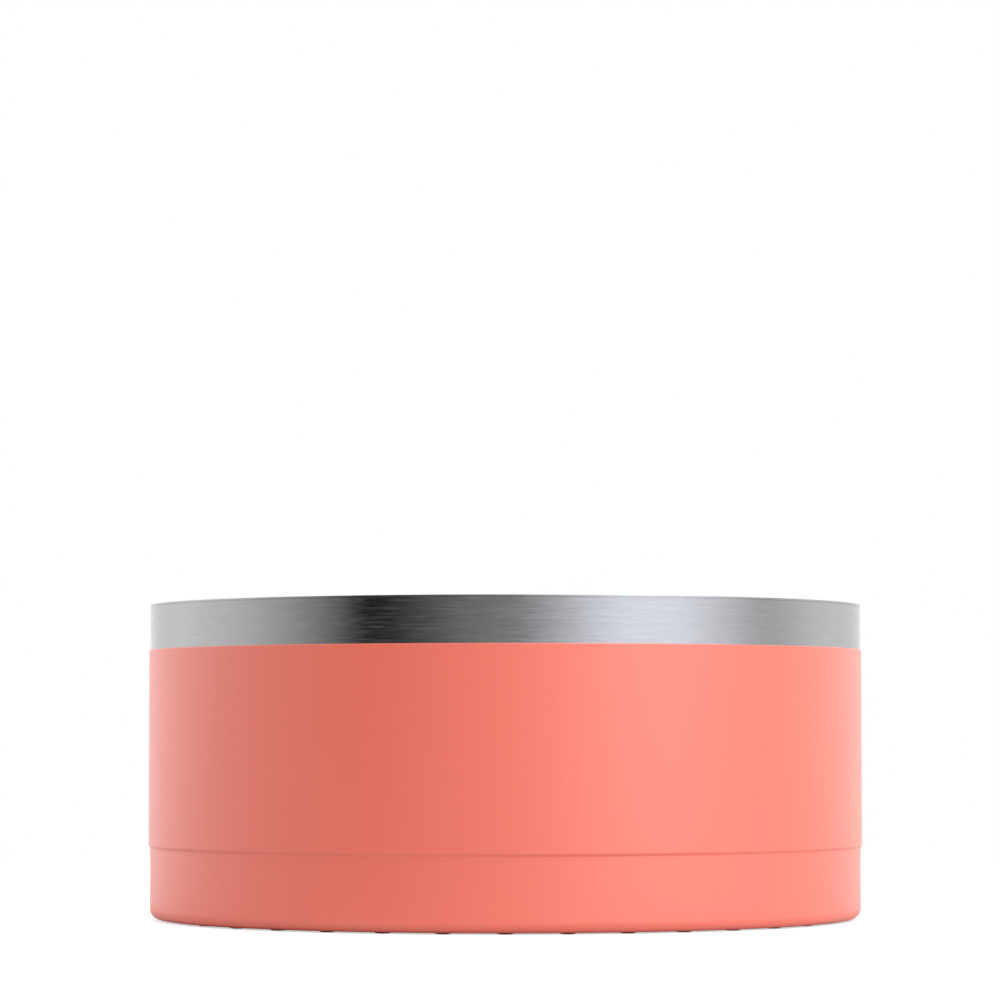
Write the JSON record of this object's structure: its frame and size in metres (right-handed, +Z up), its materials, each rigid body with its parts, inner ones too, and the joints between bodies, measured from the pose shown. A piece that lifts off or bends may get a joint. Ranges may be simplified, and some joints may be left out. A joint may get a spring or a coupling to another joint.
{
  "type": "dog bowl",
  "caption": "Round double-wall steel dog bowl with a bare brushed band under the lip, a coloured outer coat stepped in at the base, and a rubber foot ring with lugs.",
  "frame": {"origin": "on the ground, under the middle of the bowl, at the tips of the foot lugs", "axes": "+Z up along the axis of the bowl; -Y is the side that the picture is taken from"},
  "size_m": [0.213, 0.213, 0.0935],
  "materials": {
    "stainless_steel": "stainless sheet, brushed round the bowl",
    "powder_coat": "coral polyester powder coat, baked on, satin",
    "bond_film": "pale adhesive film, hidden",
    "foot_rubber": "black moulded rubber, matt"
  },
  "bodies": {
    "root": {"inner_bowl": "stainless_steel", "outer_sleeve": "stainless_steel", "base_pan": "stainless_steel", "powder_coat": "powder_coat", "ring_bond": "bond_film", "foot_ring": "foot_rubber"}
  },
  "joints": []
}
